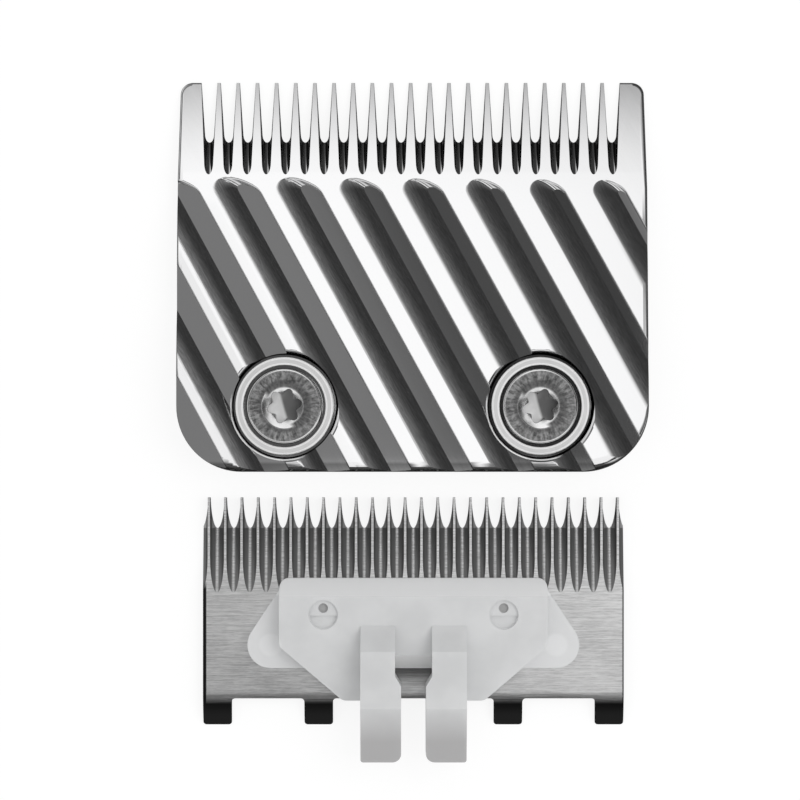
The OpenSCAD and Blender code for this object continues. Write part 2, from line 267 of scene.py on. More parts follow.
def topFall(y):
    share = min(1, max(0, (y - backStart) / (2 * comb["crownRun"]) + 0.5))
    return comb["backRise"] + (comb["wedgeRise"] - comb["backRise"]) * share


def topNormal(point, normal):
    if abs(normal.x) > 0.003 or normal.z < 0.9 or abs(point.z - topHeight(point.y)) > 0.01:
        return None
    bow = comb["wedgeBow"] * min(1, max(0, (point.y - 24) / 7))
    return Vector((0, topFall(point.y) + bow, 1)).normalized()


def combOutline():
    halfWide, halfTip = combHigh.x, comb["tipWidth"] / 2
    return roundedPath([
        (-19.7, combHigh.y, 0), (-halfTip, combHigh.y, comb["tipRadius"]),
        (-halfWide, backStart, 0), (-halfWide, combLow.y, comb["heelRadius"]),
        (halfWide, combLow.y, comb["heelRadius"]), (halfWide, backStart, 0),
        (halfTip, combHigh.y, comb["tipRadius"]), (19.7, combHigh.y, 0)], steps=20)


def combBlank():
    run = comb["crownRun"]
    stops = [combHigh.y + 1] + [backStart + run * (1 - step / 6) for step in range(13)] + [combLow.y - 1]
    side = [(combLow.y - 1, 0), (combHigh.y + 1, 0)] + [(y, topHeight(y)) for y in stops]
    blank = drawFace("combBlade", [(combLow.x - 1, y, z) for y, z in side])
    pullOut(blank, combHigh.x * 2 + 2, 0, 0)
    plan = drawFace("combPlan", [(x, y, -1) for x, y in combOutline()])
    pullOut(plan, 0, 0, 9)
    carve(blank, plan, "INTERSECT")
    return blank


# an edge that falls gently over the first stretch and then rounds down, as (inset, drop);
# it starts above the top and ends outside the wall, so that it crosses both
def rollProfile(gentle, wide, tall):
    tilts = [math.tan(math.radians(comb["rollTilt"] * share)) for share in (0.5, 0.75, 1)]
    profile = [(gentle + wide + 0.2, -0.2 * tilts[0])]
    drop = 0
    for number, slope in enumerate(tilts):
        drop += slope * gentle / 3
        profile.append((gentle + wide - gentle * (number + 1) / 3, drop))
    begin = math.atan(tilts[-1] * wide / tall)
    for step in range(1, 13):
        turn = begin + (math.pi / 2 - begin) * step / 12
        across = (math.sin(turn) - math.sin(begin)) / (1 - math.sin(begin))
        profile.append((wide - (wide + 0.03) * across, drop + tall * (math.cos(begin) - math.cos(turn))))
    return profile


# the tool that rolls over the top edge, wide at the heel and narrow along the sides
def edgeRoller():
    outline = [Vector(point) for point in combOutline()]
    rings = []
    for index, here in enumerate(outline):
        before = outline[max(index - 1, 0)]
        after = outline[min(index + 1, len(outline) - 1)]
        along = (after - before).normalized()
        outward = Vector((along.y, -along.x))
        blend = max(0, -outward.y) ** 1.6
        gentle, wide, tall = [side * (1 - blend) + heel * blend
                              for side, heel in zip(comb["sideRoll"], comb["heelRoll"])]
        tall = min(tall, 0.55 * topHeight(here.y))
        profile = rollProfile(gentle, min(wide, tall), tall)
        ring = []
        for reach in (0.7, -profile[0][0]):
            spot = here + outward * reach
            ring.append((spot.x, spot.y, topHeight(here.y) + 0.8))
        for inset, drop in profile:
            spot = here - outward * inset
            ring.append((spot.x, spot.y, topHeight(spot.y) - drop))
        spot = here + outward * 0.7
        ring.append((spot.x, spot.y, topHeight(here.y) - profile[-1][1]))
        rings.append(ring)
    return skinRings("edgeRoller", rings)


# a drafted channel with a round bottom that climbs towards the heel
def channelTool(name, x, y, radius, draft, climb, start, length, steps=20):
    lean, rise = math.radians(draft), math.radians(climb)
    profile = []
    for step in range(steps + 1):
        turn = math.pi + lean + (math.pi - 2 * lean) * step / steps
        profile.append((radius * math.cos(turn), radius + radius * math.sin(turn)))
    reach = profile[-1][0] + (6 - profile[-1][1]) * math.tan(lean)
    profile += [(reach, 6), (-reach, 6)]
    along = Vector((0, -math.cos(rise), math.sin(rise)))
    upward = Vector((0, math.sin(rise), math.cos(rise)))
    base = Vector((x, y, 0)) + along * start
    tool = drawFace(name, [base + Vector((a, 0, 0)) + upward * b for a, b in profile])
    return pullOut(tool, *(along * length))


# how far a round corner of a given radius holds back at a distance from its wall
def cornerDrop(gap, radius):
    if gap >= radius:
        return 0
    return radius - math.sqrt(max(0, radius ** 2 - (radius - gap) ** 2))


# one flute, as rings that shrink from its rim to its floor
def fluteTool(number):
    wall, floorWidth = comb["wall"], comb["firstFloor"] - number * comb["floorStep"]
    left = -wall - floorWidth - comb["flank"]
    crest = left + comb["headLead"]
    front = comb["headTilt"] * crest - comb["headReach"]
    bow = (comb["headEnd"] - front) / crest ** 2
    lean = math.radians(comb["fluteLean"])
    start = Vector((comb["fluteStart"] + number * comb["flutePitch"], backStart, 0))
    across = Vector((math.cos(lean), math.sin(lean), 0))
    down = Vector((math.sin(lean), -math.cos(lean), 0))
    deep = comb["shallow"] + floorWidth * comb["floorFall"]
    fullTurn = math.asin(2 * comb["flank"] * deep / (comb["flank"] ** 2 + deep ** 2))
    rings = []
    steps, headSteps = 22, 40
    for step in range(-1, steps + 1):
        turn = fullTurn * max(step, 0) / steps
        inward = math.sin(turn) / math.sin(fullTurn)
        depth = (1 - math.cos(turn)) / (1 - math.cos(fullTurn))
        low, high = left + comb["flank"] * inward, -wall * inward
        run = comb["headRun"] * depth ** comb["headCurve"]
        path = [(low, 44)]
        for spot in range(headSteps + 1):
            u = low + (high - low) * (1 - math.cos(math.pi * spot / headSteps)) / 2
            drop = cornerDrop(u - low, comb["headLeft"]) + cornerDrop(high - u, comb["headRight"])
            path.append((u, front + bow * max(0, u - crest) ** 2 + run + drop))
        path.append((high, 44))
        ring = []
        for u, s in path:
            share = min(1, max(0, (high - u) / (high - low)))
            full = comb["shallow"] + floorWidth * share * comb["floorFall"]
            spot = start + across * u + down * s
            height = 2 if step < 0 else 0.004 - full * depth
            ring.append((spot.x, spot.y, topHeight(spot.y) + height))
        rings.append(ring)
    return skinRings("fluteTool", rings)


# the trench round a rim, with the ridges rounding down into it
def trenchTool(x):
    width, floor, (spread, deep) = comb["trenchRadius"], comb["trenchFloor"], comb["flare"]
    levels = [(width + spread, 2, 1)]
    for step in range(9):
        turn = math.pi * step / 18
        levels.append((width + spread * (1 - math.sin(turn)), 0.003 - deep * (1 - math.cos(turn)), 1))
    levels += [(width, floor + 0.12, 0), (width - 0.04, floor + 0.04, 0), (width - 0.12, floor, 0)]
    rings = []
    for reach, lift, share in levels:
        ring = []
        for step in range(96):
            turn = 2 * math.pi * step / 96
            y = reach * math.sin(turn)
            ring.append((x + reach * math.cos(turn), y, share * topHeight(y) + lift))
        rings.append(ring)
    return skinRings("trench", rings)


def joinAll(pieces):
    letGo()
    for piece in pieces:
        piece.select_set(True)
    bpy.context.view_layer.objects.active = pieces[0]
    bpy.ops.object.join()
    return pieces[0]


def makeCombBlade():
    blade = combBlank()
    carve(blade, edgeRoller())
    slots = channelTool("slotTool", comb["slotShift"] - (comb["slots"] - 1) / 2 * comb["slotPitch"],
                        combHigh.y - comb["slotLength"], comb["slotRadius"], comb["slotDraft"],
                        comb["slotClimb"], -9, 22)
    repeatAlongX(slots, comb["slots"], comb["slotPitch"])
    carve(blade, slots)
    carve(blade, joinAll([fluteTool(number) for number in range(comb["flutes"])]))
    for side in (-0.5, 0.5):
        x = side * comb["screwSpan"]
        carve(blade, trenchTool(x))
        carve(blade, roundBar("bore", x, 0, comb["seatHeight"], 9, comb["boreRadius"] + 0.2))
        low, high, edge = comb["seatHeight"] - 0.4, comb["rimHeight"], comb["rimEdge"]
        profile = [(comb["boreRadius"], low), (comb["rimRadius"], low)]
        for step in range(19):
            turn = math.radians(10 * step)
            middle = comb["rimRadius"] - edge if step < 10 else comb["boreRadius"] + edge
            profile.append((middle + edge * math.cos(turn), high - edge + edge * math.sin(turn)))
        carve(blade, turned("rim", x, 0, profile, 96, True), "UNION")
        carve(blade, roundBar("hole", x, 0, -1, 9, comb["holeRadius"], 48))
    wide, back, front, deep = comb["pocket"]
    pocket = drawFace("pocket", [(x, y, -1) for x, y in roundedPath([
        (-wide / 2, -back, 0.5), (wide / 2, -back, 0.5), (wide / 2, front, 0.5), (-wide / 2, front, 0.5)])])
    pullOut(pocket, 0, 0, deep + 1)
    carve(blade, pocket)
    finishSurface(blade, 15, 0.5, 8, topNormal)
    return blade


# the two screws
screw = {
    "neckRadius": 1.85, "neckStart": 1.8, "threadRadius": 1.75, "coreRadius": 1.48, "threadPitch": 0.6,
    "headRadius": 3.7, "headLow": 3.2, "headHigh": 4.8, "dishRadius": 2.2, "dishDepth": 0.1,
    "socketMiddle": 1.52, "socketWave": 0.26, "lobeRound": -0.15, "socketDraft": 0.09, "socketDepth": 1.05,
    "socketTurn": 12, "drillDepth": 0.17,
}


def makeScrew(name, x):
    high, low = screw["headHigh"], screw["headLow"]
    core, edge = screw["coreRadius"], screw["headRadius"]
    profile = [
        (0, 0), (core - 0.2, 0), (core, 0.2), (core, screw["neckStart"]),
        (screw["neckRadius"], screw["neckStart"]), (screw["neckRadius"], low),
        (edge - 0.08, low), (edge, low + 0.08), (edge, high - 0.22), (edge - 0.03, high - 0.12),
        (edge - 0.08, high - 0.05), (edge - 0.13, high - 0.022), (edge - 0.19, high - 0.0095), (edge - 0.4, high),
        (screw["dishRadius"] + 0.06, high), (screw["dishRadius"], high - 0.02),
        (screw["dishRadius"] - 0.05, high - 0.05),
        (screw["socketMiddle"], high - screw["dishDepth"]), (0, high - screw["dishDepth"]),
    ]
    piece = turned(name, 0, 0, profile)
    floor = high - screw["socketDepth"]
    rings = []
    for level, spread in ((floor - 0.6, -screw["socketDraft"]), (high - screw["dishDepth"], 0), (high + 1, 0)):
        ring = []
        for step in range(144):
            turn = 2 * math.pi * step / 144
            wave = math.cos(6 * (turn - math.radians(screw["socketTurn"])))
            reach = screw["socketMiddle"] + spread + screw["socketWave"] * (wave + screw["lobeRound"] * wave ** 2)
            ring.append((reach * math.cos(turn), reach * math.sin(turn), level))
        rings.append(ring)
    socket = skinRings("socket", rings)
    cone = [(0, floor - screw["drillDepth"]), (2.2, floor), (2.2, high + 0.9), (0, high + 0.9)]
    carve(socket, turned("drillPoint", 0, 0, cone), "INTERSECT")
    carve(piece, socket)
    piece.data.transform(Matrix.Translation((x * mm, 0, 0)))
    finishSurface(piece)
    return piece


# the cutter plate
cutter = {
    "plateLength": 19.7, "thickness": 1.26, "footWidth": 2.8, "innerFoot": 10.7, "notchRadius": 0.35,
    "rollStart": 19.05, "rollRadius": 5.2, "teeth": 26, "toothPitch": 1.606, "grooveRadius": 0.685,
    "grooveClimb": 11.3, "gapLength": 3, "reliefDepth": 0.2, "pegHole": 1.15,
}
cutLow, cutHigh = (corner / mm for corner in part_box("cutter_blade"))
cutMiddle = (cutLow.x + cutHigh.x) / 2
lobe = {"x": 13.98, "back": 14.4}


# a place on the cutter: x from its middle, and back from its tips
def onCutter(x, back, z=0):
    return Vector((cutMiddle + x, cutHigh.y - back, z))


def makeCutter():
    half, rear, end = (cutHigh.x - cutLow.x) / 2, cutter["plateLength"], cutHigh.y - cutLow.y
    footIn, inner, fillet = half - cutter["footWidth"], cutter["innerFoot"], cutter["notchRadius"]
    innerIn = inner - cutter["footWidth"]
    right = [(half, 0, 0), (half, end, 0.3), (footIn, end, 0.3), (footIn, rear, fillet),
             (inner, rear, fillet), (inner, end, 0.3), (innerIn, end, 0.3), (innerIn, rear, fillet)]
    left = [(-x, back, radius) for x, back, radius in reversed(right)]
    plan = drawFace("cutterPlan", [onCutter(x, back, -1) for x, back in roundedPath(right + left, 5)])
    pullOut(plan, 0, 0, 4)
    thick, radius, start = cutter["thickness"], cutter["rollRadius"], cutter["rollStart"]
    side = [(-1, 0), (end + 0.5, 0)]
    for step in range(16, -1, -1):
        run = (end + 0.5 - start) * step / 16
        side.append((start + run, thick - radius + math.sqrt(radius ** 2 - run ** 2)))
    side.append((-1, thick))
    plate = drawFace("cutterBlade", [onCutter(-half - 1, back, z) for back, z in side])
    pullOut(plate, half * 2 + 2, 0, 0)
    carve(plate, plan, "INTERSECT")
    grooves = channelTool("grooveTool", cutMiddle - cutter["teeth"] / 2 * cutter["toothPitch"],
                          cutHigh.y - cutter["gapLength"], cutter["grooveRadius"], 0.3,
                          cutter["grooveClimb"], -5, 18, 32)
    repeatAlongX(grooves, cutter["teeth"] + 1, cutter["toothPitch"])
    carve(plate, grooves)
    relief = drawFace("relief", [onCutter(x, back, -1) for x, back in
                                 ((-half - 1, 7.8), (half + 1, 7.8), (half + 1, 17), (-half - 1, 17))])
    carve(plate, pullOut(relief, 0, 0, 1 + cutter["reliefDepth"]))
    for side in (-1, 1):
        spot = onCutter(side * lobe["x"], lobe["back"])
        carve(plate, roundBar("pegHole", spot.x, spot.y, -1, 3, cutter["pegHole"], 48))
    finishSurface(plate, 9)
    return plate


# the plastic yoke that drives the cutter
yoke = {
    "flangeFront": 12.5, "flangeThick": 0.75, "lobeRadius": 2.27, "bodyHalf": 13.1, "bodyHeight": 4.0,
    "bodyFront": 7.85, "frontSlope": 1.75, "rearBevel": 1.4, "armHalf": 5.15, "armHeight": 8.0,
    "armEndHeight": 5.2, "armFront": 12.4, "armCrease": 20.15, "armEnd": 25.6, "gap": 2.4, "gapRelief": 0.6,
    "reliefEnd": 17.1, "recess": (8.8, 11.35, 1.43, 0.25), "pinHole": 0.47, "pinDepth": 0.55, "pegRadius": 1.1,
    "edge": 0.14,
}


def yokeSlice(name, outline, low, high, steps=6):
    face = drawFace(name, [onCutter(x, back, low) for x, back in roundedPath(outline, steps)])
    return pullOut(face, 0, 0, high - low)


def yokeProfile(name, side, left, right):
    face = drawFace(name, [onCutter(left, back, z) for back, z in side])
    return pullOut(face, right - left, 0, 0)


def makeYoke():
    thick = cutter["thickness"]
    flangeTop = thick + yoke["flangeThick"]
    rear, flangeRear = cutter["plateLength"], lobe["back"] + yoke["lobeRadius"]
    outward = lobe["x"] + 0.832 * yoke["lobeRadius"]
    cornerX = outward + (0.555 * yoke["lobeRadius"] + yoke["lobeRadius"]) * 0.667
    body, front, top = yoke["bodyHalf"], yoke["bodyFront"], yoke["bodyHeight"]
    flange = yokeSlice("driveYoke", [
        (-yoke["flangeFront"], front + 0.2, 0.3), (yoke["flangeFront"], front + 0.2, 0.3),
        (cornerX, flangeRear, yoke["lobeRadius"]), (-cornerX, flangeRear, yoke["lobeRadius"])],
        thick, flangeTop, 16)
    raised = yokeSlice("yokeBody", [
        (-body, front, 0.9), (body, front, 0.9), (body, lobe["back"], 0.8), (6.9, rear, 1.0),
        (-6.9, rear, 1.0), (-body, lobe["back"], 0.8)], thick, top + 1)
    carve(raised, yokeProfile("bodySide", [
        (front - 1, thick), (flangeRear, thick), (flangeRear, flangeTop), (rear + 1, flangeTop),
        (rear + 1, top), (front + yoke["frontSlope"], top), (front, flangeTop), (front - 1, flangeTop)],
        -20, 20), "INTERSECT")
    inner = yoke["gap"] / 2 + yoke["gapRelief"]
    carve(raised, yokeProfile("betweenArms", [
        (flangeRear, flangeTop), (rear + 2, flangeTop - 0.5), (rear + 2, top + 1),
        (flangeRear - yoke["rearBevel"], top + 1), (flangeRear - yoke["rearBevel"], top)], -inner, inner))
    carve(flange, raised, "UNION")
    for side in (-1, 1):
        arm = yokeSlice("yokeArm", [(side * a, b, r) for a, b, r in (
            (inner, yoke["armFront"], 0), (yoke["armHalf"], yoke["armFront"], 0),
            (yoke["armHalf"], yoke["armEnd"], 0.25), (yoke["gap"] / 2, yoke["armEnd"], 0.85),
            (yoke["gap"] / 2, yoke["reliefEnd"] + 1, 0.3), (inner, yoke["reliefEnd"], 0.3))], 1, 9)
        rise = top + 0.6 * (yoke["armHeight"] - top)
        carve(arm, yokeProfile("armSide", [
            (yoke["armFront"], flangeTop), (yoke["armEnd"] + 1, flangeTop), (yoke["armEnd"] + 1, yoke["armEndHeight"] - 0.5),
            (yoke["armCrease"], yoke["armHeight"]), (yoke["armFront"] + 2.4, rise), (yoke["armFront"], top)],
            -9, 9), "INTERSECT")
        carve(flange, arm, "UNION")
        spot = onCutter(side * lobe["x"], lobe["back"])
        carve(flange, roundBar("peg", spot.x, spot.y, 0.3, thick + 0.2, yoke["pegRadius"], 48), "UNION")
        x, back, radius, deep = yoke["recess"]
        spot = onCutter(side * x, back)
        carve(flange, roundBar("recess", spot.x, spot.y, top - deep, top + 1, radius, 64))
        step = drawFace("recessStep", [spot + Vector((1.33 * math.cos(a), 1.33 * math.sin(a), top - deep - 0.2))
                                       for a in [math.radians(-176 + 172 * n / 24) for n in range(25)]])
        carve(flange, pullOut(step, 0, 0, 1))
        carve(flange, roundBar("pinHole", spot.x, spot.y + 0.65, top - yoke["pinDepth"], top + 1,
                               yoke["pinHole"], 32))
    applyModifier(flange, "BEVEL", width=yoke["edge"] * mm, segments=3, limit_method="ANGLE",
                  angle_limit=math.radians(24), use_clamp_overlap=True)
    finishSurface(flange, 40, 0.4)
    return flange


# node helpers, the same for materials, shared groups and the world
class NodeBench:
    def __init__(self, tree):
        self.nodes, self.links = tree.nodes, tree.links

    def put(self, socket, value):
        if hasattr(value, "is_output"):
            self.links.new(value, socket)
        else:
            socket.default_value = value

    def add(self, kind, **inputs):
        node = self.nodes.new(kind)
        for name, value in inputs.items():
            self.put(node.inputs[name.replace("_", " ")], value)
        return node

    def math(self, operation, first, *others):
        for other in others or (0.0,):
            node = self.nodes.new("ShaderNodeMath")
            node.operation = operation
            self.put(node.inputs[0], first)
            self.put(node.inputs[1], other)
            first = node.outputs[0]
        return first

    def plus(self, *values):
        return self.math("ADD", *values)

    def minus(self, first, second):
        return self.math("SUBTRACT", first, second)

    def times(self, *values):
        return self.math("MULTIPLY", *values)

    def most(self, *values):
        return self.math("MAXIMUM", *values)

    def coordinates(self, output="Object"):
        return self.nodes.new("ShaderNodeTexCoord").outputs[output]

    def split(self, vector):
        return self.add("ShaderNodeSeparateXYZ", Vector=vector).outputs

    def gather(self, x, y=0.0, z=0.0):
        return self.add("ShaderNodeCombineXYZ", X=x, Y=y, Z=z).outputs[0]

    def ramp(self, value, low, high, toLow=0.0, toHigh=1.0, smooth=True):
        node = self.nodes.new("ShaderNodeMapRange")
        node.interpolation_type = "SMOOTHSTEP" if smooth else "LINEAR"
        self.put(node.inputs["Value"], value)
        for key, number in zip(("From Min", "From Max", "To Min", "To Max"), (low, high, toLow, toHigh)):
            node.inputs[key].default_value = number
        return node.outputs["Result"]

    def blend(self, share, first, second):
        node = self.nodes.new("ShaderNodeMix")
        node.data_type = "RGBA"
        self.put(node.inputs["Factor"], share)
        self.put(node.inputs[6], first)
        self.put(node.inputs[7], second)
        return node.outputs[2]

    def bump(self, height, distance, strength=1.0, **normal):
        return self.add("ShaderNodeBump", Height=height, Distance=distance * mm, Strength=strength,
                        **normal).outputs[0]


# an effect that several finishes share, with its named sockets
def startGroup(name, inputs, outputs):
    group = bpy.data.node_groups.new(name, "ShaderNodeTree")
    for label, kind in inputs.items():
        group.interface.new_socket(label, in_out="INPUT", socket_type="NodeSocket" + kind)
    for label in outputs:
        group.interface.new_socket(label, in_out="OUTPUT", socket_type="NodeSocketFloat")
    bench = NodeBench(group)
    return group, bench, bench.nodes.new("NodeGroupInput").outputs, bench.nodes.new("NodeGroupOutput").inputs


# noise drawn out one way: brush marks, streaks and clouds
def drawnGrain():
    group, bench, given, result = startGroup("drawnGrain", {
        "Place": "Vector", "Turn": "Vector", "Stretch": "Vector", "Detail": "Float", "Roughness": "Float"},
        ["Grain"])
    turnedPlace = bench.add("ShaderNodeMapping", Vector=given["Place"], Rotation=given["Turn"])
    drawn = bench.add("ShaderNodeMapping", Vector=turnedPlace.outputs[0], Scale=given["Stretch"])
    noise = bench.add("ShaderNodeTexNoise", Vector=drawn.outputs[0], Scale=1.0, Detail=given["Detail"],
                      Roughness=given["Roughness"])
    bench.links.new(noise.outputs["Fac"], result["Grain"])
    return group


# the place round the nearer screw, not mirrored from one to the other
def aroundScrew():
    group, bench, given, result = startGroup("aroundScrew", {"Place": "Vector", "Spacing": "Float"},
                                             ["Aside", "Ahead", "Reach", "Turn"])
    place = bench.split(given["Place"])
    x, y = bench.minus(place["X"], bench.times(bench.math("SIGN", place["X"]), given["Spacing"])), place["Y"]
    reach = bench.math("SQRT", bench.plus(bench.times(x, x), bench.times(y, y)))
    for label, value in (("Aside", x), ("Ahead", y), ("Reach", reach), ("Turn", bench.math("ARCTAN2", y, x))):
        bench.links.new(value, result[label])
    return group


grainGroup, screwGroup = drawnGrain(), aroundScrew()


class Finish(NodeBench):
    def __init__(self, name, **sockets):
        self.material = bpy.data.materials.new(name)
        self.material.use_nodes = True
        super().__init__(self.material.node_tree)
        self.give(**sockets)

    def give(self, **sockets):
        for key, value in sockets.items():
            self.put(self.nodes["Principled BSDF"].inputs[key.replace("_", " ")], value)
        return self.material

    def shared(self, group, **inputs):
        node = self.nodes.new("ShaderNodeGroup")
        node.node_tree = group
        for name, value in inputs.items():
            self.put(node.inputs[name], value)
        return node.outputs

    def grain(self, place, stretch, detail=3.0, roughness=0.55, turn=0.0):
        return self.shared(grainGroup, Place=place, Turn=(0, 0, turn), Stretch=stretch, Detail=detail,
                           Roughness=roughness)["Grain"]

    def aroundScrew(self, place):
        return self.shared(screwGroup, Place=place, Spacing=comb["screwSpan"] / 2 * mm)


def grey(level, tint=0.0):
    return (level, level, level * (1 + tint), 1)


# bright plating: streaks along the flutes, painted shade on the steep walls and down the heel roll, and a painted
# highlight in a thin ring beside each trench on one side
def platedSteel():
    finish = Finish("platedSteel")
    place = finish.coordinates()
    lean = finish.split(finish.coordinates("Normal"))
    along = -math.radians(comb["fluteLean"])
    streak = finish.grain(place, (9000, 260, 9000), 4.0, 0.6, along)
    broad = finish.grain(place, (1100, 60, 1100), 2.0, 0.55, along)
    worked = finish.times(streak, finish.ramp(lean["X"], 0.02, 0.12))
    # painted shade: the steep walls and the roll down the heel are coloured near black
    heel = finish.times(finish.ramp(finish.split(place)["Y"], (combLow.y + 1.1) * mm, (combLow.y + 0.7) * mm),
                        finish.ramp(lean["Y"], 0.04, -0.03))
    flat = finish.times(finish.ramp(lean["Z"], 0.3, 0.8), finish.minus(1, heel))
    colour = finish.blend(flat, grey(0.08), grey(0.9, 0.006))
    colour = finish.blend(finish.times(finish.ramp(streak, 0.35, 0.7), finish.ramp(lean["X"], 0.02, 0.12), 0.3),
                          colour, grey(0.0))
    spot = finish.aroundScrew(place)
    # painted highlight: a thin pale, less metallic ring beside each trench, on one side only
    toward = finish.plus(finish.times(spot["Aside"], 0.64), finish.times(spot["Ahead"], 0.77))
    paintedTrenchGlint = finish.times(finish.ramp(spot["Reach"], 5.15 * mm, 5.2 * mm), finish.ramp(spot["Reach"], 5.33 * mm, 5.28 * mm),
                       finish.ramp(toward, -2.2 * mm, -3.2 * mm))
    colour = finish.blend(paintedTrenchGlint, colour, grey(0.95))
    rough = finish.plus(0.055, finish.times(worked, 0.12), finish.times(paintedTrenchGlint, 0.3))
    normal = finish.bump(worked, 0.0012, 0.6)
    normal = finish.bump(broad, 0.003, 0.4, Normal=normal)
    return finish.give(Base_Color=colour, Metallic=finish.minus(1, finish.times(paintedTrenchGlint, 0.75)), Roughness=rough,
                       Normal=normal)


# the turned rims: satin, with rings from the turning tool and painted highlights along both edges
def turnedRim():
    finish = Finish("turnedRim", Metallic=0.25)
    place = finish.coordinates()
    reach = finish.aroundScrew(place)["Reach"]
    rings = finish.grain(finish.gather(reach), (24000, 1, 1), 2.0)
    cloud = finish.grain(place, (700, 700, 700))
    # painted highlight: the inner and outer edges of each rim are coloured white
    edge = finish.most(finish.ramp(reach, 4.24 * mm, 4.14 * mm), finish.ramp(reach, 4.5 * mm, 4.62 * mm))
    tone = finish.plus(finish.times(cloud, 0.4), finish.times(rings, 0.5))
    colour = finish.blend(edge, finish.blend(tone, grey(0.56), grey(0.92)), grey(1.0))
    return finish.give(Base_Color=colour, Roughness=finish.plus(0.34, finish.times(cloud, 0.12)),
                       Normal=finish.bump(rings, 0.003, 0.5))


# the ground underside that the cutter runs on
def groundFace():
    finish = Finish("groundFace", Metallic=1.0)
    lines = finish.grain(finish.coordinates(), (300, 9000, 9000), 4.0)
    return finish.give(Base_Color=finish.blend(lines, grey(0.6), grey(0.76)),
                       Roughness=finish.plus(0.26, finish.times(lines, 0.16)), Normal=finish.bump(lines, 0.002, 0.5))


# the screws: a mottled turned face round a polished dish, and a socket with painted light on one side and painted
# shade down its walls
def screwSteel():
    finish = Finish("screwSteel")
    place = finish.coordinates()
    spot = finish.aroundScrew(place)
    reach = spot["Reach"]
    marks = finish.grain(finish.gather(finish.times(spot["Turn"], 9), finish.times(reach, 900)), (1, 1, 1), 4.0, 0.65)
    spots = finish.grain(place, (2600, 2600, 2600), 4.0, 0.7)
    dull = finish.ramp(finish.plus(finish.times(spot["Aside"], 0.76), finish.times(spot["Ahead"], 0.65)),
                       -0.9 * mm, -0.3 * mm)
    face = finish.most(finish.ramp(reach, 2.15 * mm, 2.3 * mm),
                       finish.times(dull, finish.ramp(reach, 1.72 * mm, 1.95 * mm)))
    face = finish.times(face, finish.ramp(reach, 3.5 * mm, 3.38 * mm))
    mottle = finish.plus(finish.times(finish.ramp(marks, 0.35, 0.68), 0.6),
                         finish.times(finish.ramp(spots, 0.38, 0.66), 0.4))
    mottle = finish.times(mottle, finish.ramp(reach, 2.4 * mm, 2.8 * mm, 0.38, 1))
    colour = finish.blend(face, grey(0.86), finish.blend(mottle, grey(0.07), grey(0.5)))
    inside = finish.ramp(finish.split(place)["Z"], (screw["headHigh"] - 0.13) * mm, (screw["headHigh"] - 0.17) * mm)
    steep = finish.ramp(finish.split(finish.coordinates("Normal"))["Z"], 0.6, 0.3)
    # painted light and shade in the socket: one side of its floor coloured pale, the other dark, and its steep walls
    # darker still
    lit = finish.ramp(finish.plus(finish.times(spot["Aside"], 0.96), finish.times(spot["Ahead"], 0.27)),
                      0.05 * mm, -0.3 * mm)
    paintedSocketLightAndShade = finish.blend(steep, finish.blend(lit, grey(0.2), grey(0.95)), grey(0.1))
    rough = finish.plus(0.13, finish.times(face, finish.plus(0.16, finish.times(mottle, 0.22))))
    metal = finish.minus(finish.minus(1, finish.times(face, 0.55)), finish.times(inside, 0.78))
    return finish.give(Base_Color=finish.blend(inside, colour, paintedSocketLightAndShade), Metallic=metal, Roughness=rough,
                       Normal=finish.bump(finish.times(mottle, face), 0.012, 0.6))


# the cutter: ground along its length of travel, less metallic with painted shade in the grooves, painted shade along
# the side edges and down the feet, and a painted shadow behind the yoke
def brushedSteel():
    finish = Finish("brushedSteel")
    place = finish.coordinates()
    spot, lean = finish.split(place), finish.split(finish.coordinates("Normal"))
    lines = finish.grain(place, (260, 7000, 7000), 5.0, 0.65)
    fine = finish.grain(place, (1400, 14000, 14000), 3.0, 0.6)
    cloud = finish.grain(place, (120, 200, 200), 3.0, 0.5)
    tone = finish.plus(finish.times(lines, 0.5), finish.times(fine, 0.3), finish.times(cloud, 0.2))
    colour = finish.blend(finish.ramp(tone, 0.36, 0.64), grey(0.55), grey(0.95))
    aside = finish.math("ABSOLUTE", lean["X"])
    # painted shade: the groove sides are coloured darker and made less metallic, the tooth sides in front less dark
    paintedShadeAndDull = finish.ramp(aside, 0.07, 0.34)
    tooth = finish.ramp(spot["Y"], (cutHigh.y - 3.05) * mm, (cutHigh.y - 2.95) * mm, 0.17, 0.45)
    colour = finish.blend(paintedShadeAndDull, colour, finish.gather(tooth, tooth, tooth))
    # painted shade: near-upright walls are coloured darker still
    colour = finish.blend(finish.ramp(aside, 0.6, 0.95), colour, grey(0.1))
    # painted shade: the side edges near the tips and the rolled-down feet are coloured near black
    half = cutHigh.x - cutMiddle
    rim = finish.ramp(finish.math("ABSOLUTE", finish.minus(spot["X"], (cutMiddle + 0.1) * mm)),
                      (half - 0.28) * mm, (half - 0.18) * mm)
    rim = finish.times(rim, finish.ramp(spot["Y"], (cutHigh.y - 8) * mm, (cutHigh.y - 9) * mm))
    colour = finish.blend(finish.most(rim, finish.ramp(lean["Y"], 0.0, -0.23, smooth=False)), colour, grey(0.015))
    # painted shadow: the plate is coloured dark behind the yoke, between the arms
    paintedYokeShadow = finish.times(
        finish.ramp(finish.math("ABSOLUTE", finish.minus(spot["X"], cutMiddle * mm)), 2.2 * mm, 1.7 * mm),
        finish.ramp(spot["Y"], (cutHigh.y - 18.9) * mm, (cutHigh.y - 16.9) * mm),
        finish.ramp(spot["Y"], (cutHigh.y - 12) * mm, (cutHigh.y - 13) * mm))
    colour = finish.blend(finish.times(paintedYokeShadow, 0.85), colour, grey(0.03))
    return finish.give(Base_Color=colour, Metallic=finish.minus(0.85, finish.times(paintedShadeAndDull, 0.5)),
                       Roughness=finish.plus(0.24, finish.times(lines, 0.14)), Normal=finish.bump(tone, 0.006, 0.6))
